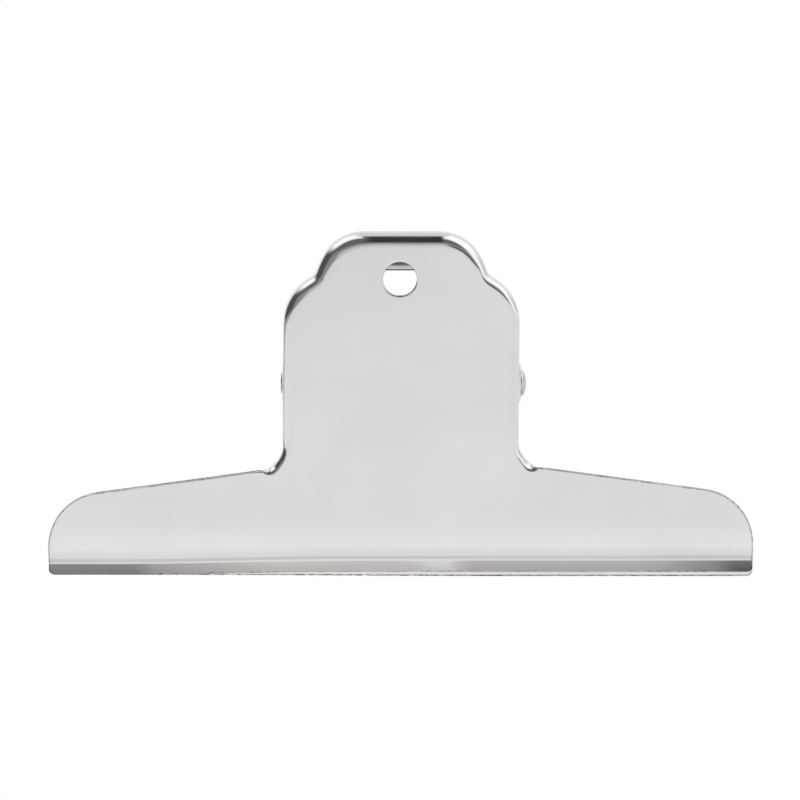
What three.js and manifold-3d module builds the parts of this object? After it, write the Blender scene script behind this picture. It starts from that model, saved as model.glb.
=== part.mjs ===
// A wide steel letter clip: two pressed plates turn on one rivet pin, and a
// double torsion spring on that pin pushes their handles apart.
// Millimetres. X runs along the jaw, the front plate faces -Y and Z is up.
// The origin lies under the middle of the jaw, on the line where both lips end.
// A plate is drawn in its own terms: x along the jaw, w up the flat web from
// its foot (below zero down the jaw), and depth in from the web's outer face.

import * as THREE from 'three';
import { mergeVertices } from 'three/addons/utils/BufferGeometryUtils.js';
import Module from 'manifold-3d';

const degrees = THREE.MathUtils.degToRad;
const QUARTER_TURN = Math.PI / 2;
const FULL_TURN = Math.PI * 2;

// Sheet and stance of both plates
const SHEET = 0.6;
const PLATE_LEAN = degrees(11);
const BEND_RADIUS = 2;

// Gripping lips, and the round shoulder that carries them
const JAW_LENGTH = 145;
const LIP_HEIGHT = 2.7;
const LIP_CLEARANCE = 0.3;
const LIP_CORNER_RADIUS = 1.3;
const LIP_BEND_RADIUS = 0.6;
const LIP_BEND_TURN = degrees(70);
const JAW_SHOULDER_RADIUS = 4;

// Wings of the jaw
const WING_ROOT_HEIGHT = 22.6;
const WING_SLOPE = degrees(7.75);
const WING_TIP_RADIUS = 11.5;
const WAIST_RADIUS = 5;

// Handle, from its crown down to its straight sides
const HANDLE_WIDTH = 48.4;
const CROWN_HEIGHT = 70.05;
const CROWN_CORNER_RADIUS = 9.6;
const CROWN_CORNER_TURN = degrees(62);
const CROWN_SIDE_RADIUS = 18;
const CROWN_SIDE_TURN = degrees(9.5);
const NECK_RADIUS = 3.2;
const SHOULDER_STEP = 5.6;
const SHOULDER_SLOPE = degrees(33.5);
const SHOULDER_RADIUS = 10.3;

// Flange round the handle, and the ears that it grows into
const FLANGE_DEPTH = 4.5;
const WAIST_FLANGE_DEPTH = 4;
const WAIST_RUN_OUT = 0.55; // share of the waist's arc over which the flange flattens
const EAR_RADIUS = 5;
const EAR_CLEARANCE = 0.3;

// Hanging hole near the crown, with its rolled rim
const HANG_HOLE_RADIUS = 3.5;
const HANG_HOLE_BELOW_CROWN = 9;
const HANG_HOLE_RIM = 0.3;

// Rivet pin, and the raised seats that its two heads press on
const PIN_HEIGHT = 39.8;
const PIN_RADIUS = 1.6;
const PIN_CLEARANCE = 0.3;
const DOME_RADIUS = 2.7;
const DOME_HEIGHT = 1.05;
const PEENED_RADIUS = 2.2;
const PEENED_HEIGHT = 0.4;
const HEAD_CLEARANCE = 0.1;
const SEAT_RADIUS = 3.6;
const SEAT_HEIGHT = 0.3;
const SEAT_SLOPE_WIDTH = 0.8;

// Double torsion spring
const WIRE_RADIUS = 0.95;
const COIL_RADIUS = 3.5;
const COIL_PITCH = 2.45;
const COIL_WHOLE_TURNS = 4;
const COIL_SIDE_CLEARANCE = 2.1;
const WIRE_CLEARANCE = 0.3;
const CROSSBAR_BELOW_CROWN = 6.3;
const CROSSBAR_BEND_RADIUS = 2.2;
const FREE_LEG_BELOW_SHOULDER = 0.5;

// Fineness of the facets
const ARC_STEP = degrees(10);
const BEND_STEPS = 4;
const ROUND_SIDES = 32;
const CURL_STEPS = 8;
const WIRE_SIDES = 5;
const WIRE_BEND_STEPS = 3;

const wasm = await Module();
wasm.setup();

/** Angles from one to another in steps no wider than ARC_STEP, without the first. */
function arcAngles(from, to) {
  const steps = Math.max(2, Math.ceil(Math.abs(to - from) / ARC_STEP));
  const angles = [];
  for (let i = 1; i <= steps; i += 1) {
    angles.push(from + ((to - from) * i) / steps);
  }
  return angles;
}

/** The jaw's outer face in section, from the lip's edge up to the web's foot. */
function jawSection() {
  const points = [];
  let distance = LIP_CLEARANCE / 2 + SHEET;
  let height = 0;
  let run = 0;
  const put = (heading) => points.push({ distance, height, run, heading });
  put(0);
  const corner = lipCornerRadius();
  for (const angle of arcAngles(0, QUARTER_TURN)) {
    height = corner * (1 - Math.cos(angle));
    run = height;
    put(0);
  }
  height = LIP_HEIGHT;
  run = height;
  put(0);
  const bend = (radius, from, to) => {
    const side = Math.sign(to - from);
    const start = { distance, height, run };
    for (const heading of arcAngles(from, to)) {
      distance = start.distance + side * radius * (Math.cos(from) - Math.cos(heading));
      height = start.height + side * radius * (Math.sin(heading) - Math.sin(from));
      run = start.run + radius * Math.abs(heading - from);
      put(heading);
    }
  };
  bend(LIP_BEND_RADIUS, 0, LIP_BEND_TURN);
  bend(JAW_SHOULDER_RADIUS, LIP_BEND_TURN, PLATE_LEAN);
  return points;
}

/** Radius of the lip's lower corners, which the lip's own height limits. */
function lipCornerRadius() {
  return Math.min(LIP_CORNER_RADIUS, LIP_HEIGHT * 0.9);
}

const JAW_SECTION = jawSection();
const WEB_FOOT = JAW_SECTION.at(-1);

/** Distance up the web of a height above the jaw line. */
function upTheWeb(height) {
  return (height - WEB_FOOT.height) / Math.cos(PLATE_LEAN);
}

/** Where a point of a plate, in the plate's own terms, stands in space. */
function placed(x, w, depth) {
  const distance = WEB_FOOT.distance + w * Math.sin(PLATE_LEAN) - depth * Math.cos(PLATE_LEAN);
  const height = WEB_FOOT.height + w * Math.cos(PLATE_LEAN) + depth * Math.sin(PLATE_LEAN);
  return new THREE.Vector3(x, -distance, height);
}

// The pin's axis in the plates' own terms
const PIN_W = (PIN_HEIGHT - WEB_FOOT.height) * Math.cos(PLATE_LEAN)
  - WEB_FOOT.distance * Math.sin(PLATE_LEAN);
const PIN_DEPTH = WEB_FOOT.distance * Math.cos(PLATE_LEAN)
  + (PIN_HEIGHT - WEB_FOOT.height) * Math.sin(PLATE_LEAN);

/** Draws half of a plate's outline, from the crown clockwise to the wing. */
class OutlinePen {
  constructor(x, w) {
    this.x = x;
    this.w = w;
    this.heading = 0;
    this.points = [];
    this.put();
  }

  put() {
    const normal = { x: Math.sin(this.heading), w: Math.cos(this.heading) };
    this.points.push({ x: this.x, w: this.w, normal });
  }

  line(length) {
    this.x += length * Math.cos(this.heading);
    this.w -= length * Math.sin(this.heading);
    this.put();
  }

  arc(radius, turn) {
    const side = Math.sign(turn);
    const start = { x: this.x, w: this.w, heading: this.heading };
    for (const heading of arcAngles(start.heading, start.heading + turn)) {
      this.x = start.x + side * radius * (Math.sin(heading) - Math.sin(start.heading));
      this.w = start.w - side * radius * (Math.cos(start.heading) - Math.cos(heading));
      this.heading = heading;
      this.put();
    }
  }
}

/** How far an arc reaches sideways between two headings. */
function arcReach(radius, from, to) {
  return radius * Math.abs(Math.sin(to) - Math.sin(from));
}

/**
 * Half of a plate's outline, cut into the stretches that get different flanges.
 * A handle drawn in by an inset keeps the same crown, with shorter shoulders.
 */
function plateOutline(inset) {
  const halfHandle = HANDLE_WIDTH / 2;
  const steepest = CROWN_CORNER_TURN + CROWN_SIDE_TURN;
  const crownReach = arcReach(CROWN_CORNER_RADIUS, 0, CROWN_CORNER_TURN)
    + arcReach(CROWN_SIDE_RADIUS, CROWN_CORNER_TURN, steepest)
    + arcReach(NECK_RADIUS, steepest, SHOULDER_SLOPE);
  const pen = new OutlinePen(halfHandle - SHOULDER_STEP - crownReach, upTheWeb(CROWN_HEIGHT));
  pen.arc(CROWN_CORNER_RADIUS, CROWN_CORNER_TURN);
  pen.arc(CROWN_SIDE_RADIUS, CROWN_SIDE_TURN);
  pen.arc(NECK_RADIUS, SHOULDER_SLOPE - steepest);
  const step = SHOULDER_STEP - inset;
  const shoulderShare = 1 - Math.sin(SHOULDER_SLOPE);
  const shoulderRadius = Math.min(SHOULDER_RADIUS, (0.9 * step) / shoulderShare);
  pen.line((step - shoulderRadius * shoulderShare) / Math.cos(SHOULDER_SLOPE));
  pen.arc(shoulderRadius, QUARTER_TURN - SHOULDER_SLOPE);
  const handle = pen.points;
  const shoulderEnd = { x: pen.x, w: pen.w };

  const waistTurn = QUARTER_TURN - WING_SLOPE;
  const waistReach = WAIST_RADIUS * Math.tan(waistTurn / 2);
  const waistStart = upTheWeb(WING_ROOT_HEIGHT) + waistReach;
  pen.points = [];
  pen.line(pen.w - waistStart);
  pen.arc(WAIST_RADIUS, -waistTurn);
  const waist = pen.points;

  const tipCentreX = JAW_LENGTH / 2 - WING_TIP_RADIUS;
  const tipStartX = tipCentreX + WING_TIP_RADIUS * Math.sin(WING_SLOPE);
  pen.points = [];
  pen.line((tipStartX - pen.x) / Math.cos(WING_SLOPE));
  const tipCentreW = pen.w - WING_TIP_RADIUS * Math.cos(WING_SLOPE);
  const tipEnd = Math.acos(THREE.MathUtils.clamp(-tipCentreW / WING_TIP_RADIUS, 0, 1));
  pen.arc(WING_TIP_RADIUS, tipEnd - WING_SLOPE);
  const wing = pen.points;
  if (tipCentreW > 0) {
    pen.line(pen.w);
  }
  return { handle, waist, wing, shoulderEnd, waistStart, tipCentreX, tipCentreW };
}

/** The edge of an ear in section: tangents from both ends to a lobe round the pin. */
function earEdge(outline) {
  const centre = new THREE.Vector2(PIN_W, PIN_DEPTH);
  const tangentAngle = (end, side) => {
    const reach = end.clone().sub(centre);
    return reach.angle() + side * Math.acos(Math.min(1, EAR_RADIUS / reach.length()));
  };
  const upper = new THREE.Vector2(outline.shoulderEnd.w, FLANGE_DEPTH);
  const lower = new THREE.Vector2(outline.waistStart, WAIST_FLANGE_DEPTH);
  const start = tangentAngle(upper, 1);
  const end = tangentAngle(lower, -1);
  const from = start > Math.PI ? start - FULL_TURN : start;
  const points = [];
  for (const angle of [from, ...arcAngles(from, end)]) {
    points.push({
      w: centre.x + EAR_RADIUS * Math.cos(angle),
      depth: centre.y + EAR_RADIUS * Math.sin(angle),
    });
  }
  return points;
}

/** Half of the outline with its flange's bend and straight length at each point. */
function flangedOutline(inset) {
  const outline = plateOutline(inset);
  const full = (point, depth) => ({ ...point, bend: QUARTER_TURN, straight: depth - BEND_RADIUS });
  const handle = outline.handle.map((point) => full(point, FLANGE_DEPTH));
  const side = earEdge(outline).map(({ w, depth }) => (
    full({ x: outline.shoulderEnd.x, w, normal: { x: 1, w: 0 } }, depth)));
  const last = outline.waist.length - 1;
  const waist = outline.waist.map((point, i) => {
    const share = 1 - i / last;
    return {
      ...point,
      bend: QUARTER_TURN * Math.sin(Math.min(1, share / WAIST_RUN_OUT) * QUARTER_TURN),
      straight: (WAIST_FLANGE_DEPTH - BEND_RADIUS) * share,
    };
  });
  return { ...outline, flanged: [...handle, ...side, ...waist], handleRows: handle.length + side.length };
}

/** A point of a skin: step 0 is on the web, BEND_STEPS ends the bend, one more is the tip. */
function flangePoint(sample, step, thickness) {
  const inset = BEND_RADIUS * Math.sin(sample.bend) + sample.straight * Math.cos(sample.bend);
  const angle = sample.bend * Math.min(1, step / BEND_STEPS);
  const along = step > BEND_STEPS ? sample.straight : 0;
  const out = BEND_RADIUS * Math.sin(angle) + along * Math.cos(angle) - thickness * Math.sin(angle);
  const depth = BEND_RADIUS * (1 - Math.cos(angle)) + along * Math.sin(angle)
    + thickness * Math.cos(angle);
  const offset = out - inset;
  return placed(sample.x + sample.normal.x * offset, sample.w + sample.normal.w * offset, depth);
}

/** Collects triangles and closes them into one body. */
class Skin {
  constructor() {
    this.positions = [];
  }

  triangle(a, b, c) {
    for (const point of [a, b, c]) {
      this.positions.push(point.x, point.y, point.z);
    }
  }

  quad(a, b, c, d) {
    this.triangle(a, b, c);
    this.triangle(a, c, d);
  }

  geometry() {
    const loose = new THREE.BufferGeometry();
    loose.setAttribute('position', new THREE.Float32BufferAttribute(this.positions, 3));
    const merged = mergeVertices(loose, 1e-4);
    const corners = merged.getIndex().array;
    const kept = [];
    for (let i = 0; i < corners.length; i += 3) {
      const [a, b, c] = corners.slice(i, i + 3);
      if (a !== b && b !== c && c !== a) {
        kept.push(a, b, c);
      }
    }
    merged.setIndex(kept);
    return merged;
  }
}

const mirrored = (point) => new THREE.Vector3(-point.x, point.y, point.z);

/** One skin of a plate as rows of points: the outer face, or the inner one if reversed. */
function addSkin(skin, half, thickness, reversed) {
  const facet = (a, b, c, d) => (reversed ? skin.quad(d, c, b, a) : skin.quad(a, b, c, d));
  const columns = half.flanged.map((sample) => {
    const column = [];
    for (let step = 0; step <= BEND_STEPS + 1; step += 1) {
      column.push(flangePoint(sample, step, thickness));
    }
    return column;
  });
  for (let i = 0; i + 1 < columns.length; i += 1) {
    for (let step = 0; step <= BEND_STEPS; step += 1) {
      const [a, b] = [columns[i + 1], columns[i]];
      facet(a[step], a[step + 1], b[step + 1], b[step]);
      facet(mirrored(b[step]), mirrored(b[step + 1]), mirrored(a[step + 1]), mirrored(a[step]));
    }
  }
  const crown = columns[0];
  for (let step = 0; step <= BEND_STEPS; step += 1) {
    facet(crown[step], crown[step + 1], mirrored(crown[step + 1]), mirrored(crown[step]));
  }
  for (let i = 0; i < half.handleRows; i += 1) {
    const [upper, lower] = [columns[i][0], columns[i + 1][0]];
    facet(mirrored(lower), lower, upper, mirrored(upper));
  }
  addWingWeb(skin, half, thickness, reversed);
  addJaw(half, thickness, facet);
}

/** The flat web below the handle's straight sides, out to both wing tips. */
function addWingWeb(skin, half, thickness, reversed) {
  const waist = half.flanged.slice(half.handleRows);
  const right = [...waist.map(webEdge), ...half.wing.map(({ x, w }) => new THREE.Vector2(x, w))];
  const contour = [
    ...right.toReversed(),
    ...right.map((point) => new THREE.Vector2(-point.x, point.y)),
  ];
  for (const corners of THREE.ShapeUtils.triangulateShape(contour, [])) {
    const [a, b, c] = corners.map((corner) => contour[corner]);
    const turnsLeft = b.clone().sub(a).cross(c.clone().sub(a)) > 0;
    const [p, q, r] = [a, b, c].map((point) => placed(point.x, point.y, thickness));
    if (turnsLeft === reversed) {
      skin.triangle(p, r, q);
    } else {
      skin.triangle(p, q, r);
    }
  }
}

/** Where a flange leaves the flat web. */
function webEdge(sample) {
  const inset = BEND_RADIUS * Math.sin(sample.bend) + sample.straight * Math.cos(sample.bend);
  return new THREE.Vector2(sample.x - sample.normal.x * inset, sample.w - sample.normal.w * inset);
}

/** Half the jaw's length at a height, given as a run down from the web's foot. */
function halfJaw(half, w) {
  const overTip = w - half.tipCentreW;
  if (overTip > 0) {
    return half.tipCentreX + Math.sqrt(WING_TIP_RADIUS ** 2 - overTip ** 2);
  }
  const corner = lipCornerRadius();
  const underCorner = corner - (w + WEB_FOOT.run);
  const cut = underCorner > 0 ? corner - Math.sqrt(Math.max(0, corner ** 2 - underCorner ** 2)) : 0;
  return JAW_LENGTH / 2 - cut;
}

/** Right-hand ends of the jaw's rows, from the lip's edge up to the web's foot. */
function jawEnds(half, thickness) {
  return JAW_SECTION.map((point) => {
    const distance = point.distance - thickness * Math.cos(point.heading);
    const height = point.height + thickness * Math.sin(point.heading);
    return new THREE.Vector3(halfJaw(half, point.run - WEB_FOOT.run), -distance, height);
  });
}

/** The shoulder and lip of the jaw, each row one straight strip. */
function addJaw(half, thickness, facet) {
  const ends = jawEnds(half, thickness);
  for (let i = 0; i + 1 < ends.length; i += 1) {
    facet(mirrored(ends[i]), ends[i], ends[i + 1], mirrored(ends[i + 1]));
  }
}

/** The cut edge all round a plate, which closes its two skins. */
function addRim(skin, half) {
  const edge = (thickness) => [
    ...jawEnds(half, thickness),
    ...half.wing.toReversed().map(({ x, w }) => placed(x, w, thickness)),
    ...half.flanged.toReversed().map((sample) => flangePoint(sample, BEND_STEPS + 1, thickness)),
  ];
  const [outer, inner] = [edge(0), edge(SHEET)];
  for (let i = 0; i + 1 < outer.length; i += 1) {
    skin.quad(outer[i], inner[i], inner[i + 1], outer[i + 1]);
    skin.quad(mirrored(outer[i + 1]), mirrored(inner[i + 1]), mirrored(inner[i]), mirrored(outer[i]));
  }
  const [crownOuter, crownInner] = [outer.at(-1), inner.at(-1)];
  skin.quad(crownOuter, crownInner, mirrored(crownInner), mirrored(crownOuter));
  skin.quad(mirrored(outer[0]), mirrored(inner[0]), inner[0], outer[0]);
}

/** A bent blank before its holes are cut. */
function bentBlank(inset) {
  const half = flangedOutline(inset);
  const skin = new Skin();
  addSkin(skin, half, 0, false);
  addSkin(skin, half, SHEET, true);
  addRim(skin, half);
  return skin.geometry();
}

/** A closed geometry as a solid for cutting and joining. */
function toSolid(geometry) {
  const bare = geometry.clone();
  bare.deleteAttribute('normal');
  bare.deleteAttribute('uv');
  const merged = mergeVertices(bare, 1e-4);
  return new wasm.Manifold(new wasm.Mesh({
    numProp: 3,
    vertProperties: new Float32Array(merged.getAttribute('position').array),
    triVerts: new Uint32Array(merged.getIndex().array),
  }));
}

/** A cut solid as a geometry again. */
function toGeometry(solid) {
  const mesh = solid.getMesh();
  const geometry = new THREE.BufferGeometry();
  geometry.setAttribute('position', new THREE.BufferAttribute(mesh.vertProperties, 3));
  geometry.setIndex(new THREE.BufferAttribute(mesh.triVerts, 1));
  geometry.computeVertexNormals();
  return geometry;
}

/** A round body on the X axis, from [radius, x] points that start and end on the axis. */
function turned(profile) {
  const lathe = new THREE.LatheGeometry(profile.map(([radius, x]) => new THREE.Vector2(radius, x)), ROUND_SIDES);
  return lathe.rotateZ(-QUARTER_TURN);
}

/** The cutter for a hanging hole, with the rolled rim on the web's outer face. */
function hangHoleCutter() {
  const clear = 1;
  const profile = [
    [0, -clear],
    [HANG_HOLE_RADIUS + HANG_HOLE_RIM + clear, -clear],
    [HANG_HOLE_RADIUS, HANG_HOLE_RIM],
    [HANG_HOLE_RADIUS, SHEET + clear],
    [0, SHEET + clear],
  ];
  const cutter = new THREE.LatheGeometry(profile.map(([radius, y]) => new THREE.Vector2(radius, y)), ROUND_SIDES);
  const centre = placed(0, upTheWeb(CROWN_HEIGHT - HANG_HOLE_BELOW_CROWN), 0);
  return cutter.rotateX(PLATE_LEAN).translate(centre.x, centre.y, centre.z);
}

/** A shallow round step on the +X ear, whose flat top stands at the given x. */
function seatStep(topX, rootX) {
  const step = turned([
    [0, rootX],
    [SEAT_RADIUS + SEAT_SLOPE_WIDTH * ((topX - rootX) / SEAT_HEIGHT), rootX],
    [SEAT_RADIUS, topX],
    [0, topX],
  ]);
  return step.translate(0, 0, PIN_HEIGHT);
}

/** Presses a raised seat for a rivet head into the two ears of a blank. */
function withSeats(blank) {
  const outerFace = HANDLE_WIDTH / 2;
  const raised = toSolid(seatStep(outerFace + SEAT_HEIGHT, outerFace - SHEET / 2));
  const hollow = toSolid(seatStep(outerFace - SHEET + SEAT_HEIGHT, outerFace - SHEET - SHEET / 2));
  const mirror = (solid) => solid.mirror([1, 0, 0]);
  return blank
    .add(raised)
    .add(mirror(raised))
    .subtract(hollow)
    .subtract(mirror(hollow));
}

/** A plate with its hanging hole and the pin's holes through both ears. */
function pressedPlate(inset, seats) {
  const blank = toSolid(bentBlank(inset));
  const ears = seats ? withSeats(blank) : blank;
  const reach = HANDLE_WIDTH;
  const holeRadius = PIN_RADIUS + PIN_CLEARANCE;
  const pinHole = turned([[0, -reach], [holeRadius, -reach], [holeRadius, reach], [0, reach]]);
  const drilled = ears
    .subtract(toSolid(pinHole.translate(0, 0, PIN_HEIGHT)))
    .subtract(toSolid(hangHoleCutter()));
  return toGeometry(drilled);
}

/** The rivet pin: a domed head at +X, a shaft through all four ears, a peened end at -X. */
function rivetPinGeometry() {
  const seat = HANDLE_WIDTH / 2 + SEAT_HEIGHT + HEAD_CLEARANCE;
  const head = (radius, height) => {
    const rows = [];
    for (const angle of arcAngles(QUARTER_TURN, 0)) {
      rows.push([radius * Math.sin(angle), height * Math.cos(angle)]);
    }
    return [[PIN_RADIUS, 0], [radius, 0], ...rows];
  };
  const domed = head(DOME_RADIUS, DOME_HEIGHT).map(([radius, x]) => [radius, seat + x]);
  const peened = head(PEENED_RADIUS, PEENED_HEIGHT).map(([radius, x]) => [radius, -seat - x]);
  return turned([...peened.toReversed(), ...domed]);
}

/** A tube along a line of points, closed by a flat cap at each end. */
function wireGeometry(points) {
  const skin = new Skin();
  const directions = points.map((point, i) => {
    const before = points[Math.max(0, i - 1)];
    const after = points[Math.min(points.length - 1, i + 1)];
    return after.clone().sub(before).normalize();
  });
  let across = new THREE.Vector3(0, 1, 0);
  const rings = points.map((point, i) => {
    across = across.clone().addScaledVector(directions[i], -across.dot(directions[i])).normalize();
    const third = directions[i].clone().cross(across);
    const ring = [];
    for (let side = 0; side < WIRE_SIDES; side += 1) {
      const angle = (side / WIRE_SIDES) * FULL_TURN;
      const spoke = across.clone().multiplyScalar(WIRE_RADIUS * Math.cos(angle))
        .addScaledVector(third, WIRE_RADIUS * Math.sin(angle));
      ring.push(point.clone().add(spoke));
    }
    return ring;
  });
  for (let i = 0; i + 1 < rings.length; i += 1) {
    for (let side = 0; side < WIRE_SIDES; side += 1) {
      const next = (side + 1) % WIRE_SIDES;
      skin.quad(rings[i][side], rings[i][next], rings[i + 1][next], rings[i + 1][side]);
    }
  }
  const [first, last] = [rings[0], rings.at(-1)];
  for (let side = 1; side + 1 < WIRE_SIDES; side += 1) {
    skin.triangle(first[0], first[side + 1], first[side]);
    skin.triangle(last[0], last[side], last[side + 1]);
  }
  return skin.geometry();
}

/** Half of the spring's wire, from the middle of its crossbar to the free leg's end at +X. */
function halfSpringPath() {
  const wireDepth = SHEET + WIRE_CLEARANCE + WIRE_RADIUS;
  const crossbarHeight = CROWN_HEIGHT - CROSSBAR_BELOW_CROWN - wireDepth * Math.sin(PLATE_LEAN);
  const crossbar = placed(0, upTheWeb(crossbarHeight), wireDepth);
  const shoulderEnd = plateOutline(SHEET + EAR_CLEARANCE).shoulderEnd;
  const freeEnd = placed(0, shoulderEnd.w - FREE_LEG_BELOW_SHOULDER, wireDepth);

  // Angles round the pin run from straight up, over the front, down and up the back.
  const tangentAngle = (end) => {
    const reach = new THREE.Vector2(end.z - PIN_HEIGHT, -end.y);
    return reach.angle() + Math.acos(COIL_RADIUS / reach.length());
  };
  const coilStart = tangentAngle(crossbar);
  const coilTurns = (FULL_TURN - tangentAngle(freeEnd) - coilStart) / FULL_TURN + COIL_WHOLE_TURNS;
  const innerEar = HANDLE_WIDTH / 2 - 2 * SHEET - EAR_CLEARANCE;
  const freeLegX = innerEar - COIL_SIDE_CLEARANCE - WIRE_RADIUS;
  const crossbarEndX = freeLegX - coilTurns * COIL_PITCH;
  const onCoil = (x, angle) => new THREE.Vector3(
    x,
    -COIL_RADIUS * Math.sin(angle),
    PIN_HEIGHT + COIL_RADIUS * Math.cos(angle),
  );

  const corner = new THREE.Vector3(crossbarEndX, crossbar.y, crossbar.z);
  const downLeg = onCoil(crossbarEndX, coilStart).sub(corner).normalize();
  const bendCentre = corner.clone().addScaledVector(downLeg, CROSSBAR_BEND_RADIUS);
  bendCentre.x -= CROSSBAR_BEND_RADIUS;
  const path = [];
  for (let i = 0; i <= WIRE_BEND_STEPS; i += 1) {
    const angle = (QUARTER_TURN * i) / WIRE_BEND_STEPS;
    const point = bendCentre.clone().addScaledVector(downLeg, -CROSSBAR_BEND_RADIUS * Math.cos(angle));
    point.x += CROSSBAR_BEND_RADIUS * Math.sin(angle);
    path.push(point);
  }
  const coilSteps = Math.round(coilTurns * CURL_STEPS);
  for (let i = 0; i <= coilSteps; i += 1) {
    const turn = (coilTurns * i) / coilSteps;
    path.push(onCoil(crossbarEndX + turn * COIL_PITCH, coilStart + turn * FULL_TURN));
  }
  path.push(new THREE.Vector3(freeLegX, -freeEnd.y, freeEnd.z));
  return path;
}

/** The least gap between stretches of wire that aren't neighbours along it. */
function leastWireGap(path) {
  const fine = new THREE.CurvePath();
  for (let i = 0; i + 1 < path.length; i += 1) {
    fine.add(new THREE.LineCurve3(path[i], path[i + 1]));
  }
  const spacing = WIRE_RADIUS / 2;
  const points = fine.getSpacedPoints(Math.ceil(fine.getLength() / spacing));
  const skipped = Math.ceil((COIL_RADIUS * Math.PI) / spacing);
  let least = Infinity;
  for (let i = 0; i < points.length; i += 1) {
    for (let j = i + skipped; j < points.length; j += 1) {
      least = Math.min(least, points[i].distanceTo(points[j]));
    }
  }
  return least - 2 * WIRE_RADIUS;
}

/** The double torsion spring: one wire, free leg, coil, crossbar, coil, free leg. */
function springGeometry() {
  const half = halfSpringPath();
  const path = [...half.toReversed().map(mirrored), ...half];
  console.log(`torsion_spring: least gap to itself ${leastWireGap(path).toFixed(3)} mm`);
  return wireGeometry(path);
}

/** A named piece with a metal finish of its own. */
function metalPiece(name, geometry, colour, roughness) {
  const material = new THREE.MeshStandardMaterial({ color: colour, roughness, metalness: 1 });
  const mesh = new THREE.Mesh(geometry, material);
  mesh.name = name;
  return mesh;
}

const frontPlate = metalPiece('front_plate', pressedPlate(0, true), '#d6d5d4', 0.24);
const backPlate = metalPiece('back_plate', pressedPlate(SHEET + EAR_CLEARANCE, false), '#d6d5d4', 0.24);
backPlate.rotation.z = Math.PI;
const rivetPin = metalPiece('rivet_pin', rivetPinGeometry(), '#c9c8c6', 0.3);
rivetPin.position.z = PIN_HEIGHT;
const torsionSpring = metalPiece('torsion_spring', springGeometry(), '#b9b8b6', 0.32);

const group = new THREE.Group();
group.add(frontPlate, backPlate, rivetPin, torsionSpring);

export default group;
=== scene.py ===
"""Looks of a wide steel letter clip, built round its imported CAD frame.

Two pressed plates turn on one rivet pin, and a double torsion spring pushes their
handles apart. Sizes in the classes are millimetres, in the part's own frame: X runs
along the jaw, the front plate faces -Y and Z is up. Meshes are written in metres.
"""

import logging
import math
from collections.abc import Callable
from dataclasses import dataclass
from enum import Enum, IntEnum

import bmesh
import bpy
import numpy as np
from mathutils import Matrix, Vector
from mathutils.geometry import delaunay_2d_cdt


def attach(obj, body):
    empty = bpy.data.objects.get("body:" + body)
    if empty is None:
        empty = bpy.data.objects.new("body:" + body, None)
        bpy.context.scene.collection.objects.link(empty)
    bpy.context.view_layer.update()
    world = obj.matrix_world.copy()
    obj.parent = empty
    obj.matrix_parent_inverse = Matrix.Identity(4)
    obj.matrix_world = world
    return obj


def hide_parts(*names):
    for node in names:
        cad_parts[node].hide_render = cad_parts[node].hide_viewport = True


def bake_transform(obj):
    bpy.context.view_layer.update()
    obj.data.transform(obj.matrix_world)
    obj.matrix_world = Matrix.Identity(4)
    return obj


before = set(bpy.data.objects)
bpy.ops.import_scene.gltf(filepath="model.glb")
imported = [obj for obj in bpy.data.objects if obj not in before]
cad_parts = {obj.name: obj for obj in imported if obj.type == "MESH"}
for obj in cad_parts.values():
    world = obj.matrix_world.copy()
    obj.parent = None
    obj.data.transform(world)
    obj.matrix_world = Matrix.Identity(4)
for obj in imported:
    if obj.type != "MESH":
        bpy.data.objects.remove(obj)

LOG = logging.getLogger("letter_clip")
MM = 0.001
QUARTER = math.pi / 2
JOIN_DISTANCE = 1e-6
FILL_TOLERANCE = 1e-6
LEAST_LENGTH = 1e-20
ROUND_STEPS = 3

Array = np.ndarray
Pair = tuple[float, float]
Triple = tuple[float, float, float]
Samples = dict[str, Array]
Socket = bpy.types.NodeSocket


class Body(Enum):
    """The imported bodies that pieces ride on."""

    FRONT = "front_half"
    BACK = "back_half"


class Slot(Enum):
    """The record's material slots."""

    PLATE = "plate_steel"
    RIVET = "rivet_steel"
    WIRE = "spring_wire"


class Part(IntEnum):
    """The parts of half a plate's outline, in the order in which they are drawn."""

    HANDLE = 0
    SIDE = 1
    WAIST = 2
    WING = 3


def columns(*parts: Array | float) -> Array:
    """Coordinates side by side as rows of points, each spread to one shape."""
    return np.stack(np.broadcast_arrays(*parts), axis=-1)


def lattice(across: Array, up: Array) -> Array:
    """The points of a rectangular lattice, as rows of two coordinates."""
    return np.stack(np.meshgrid(across, up), axis=-1).reshape(-1, 2)


def unit(vectors: Array) -> Array:
    """Vectors brought to a length of 1."""
    return vectors / np.linalg.norm(vectors, axis=-1, keepdims=True)


def circle(centre: Pair, radius: float, count: int = 96) -> Array:
    """Points round a circle in the plane."""
    angle = np.arange(count) * 2 * math.pi / count
    return np.array(centre) + radius * columns(np.cos(angle), np.sin(angle))


def eased(value: Array, begin: Array | float, finish: Array | float) -> Array:
    """A smooth step from 0, where a value begins, to 1, where it finishes."""
    share = np.clip((value - begin) / (finish - begin), 0, 1)
    return share * share * (3 - 2 * share)


def blurred(values: Array, travel: Array, width: float) -> Array:
    """Averages values along a path under a bell-shaped weight.

    Args:
        values: One value, or one row of them, at each point of the path.
        travel: The distance travelled at each point.
        width: The bell's standard deviation.

    Returns:
        The averages, in the shape of the values.
    """
    apart = travel[:, None] - travel[None, :]
    weight = np.exp(-(apart**2) / (2 * width**2)) * np.gradient(travel)[None, :]
    return weight @ values / weight.sum(axis=1).reshape(-1, *[1] * (values.ndim - 1))


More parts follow.
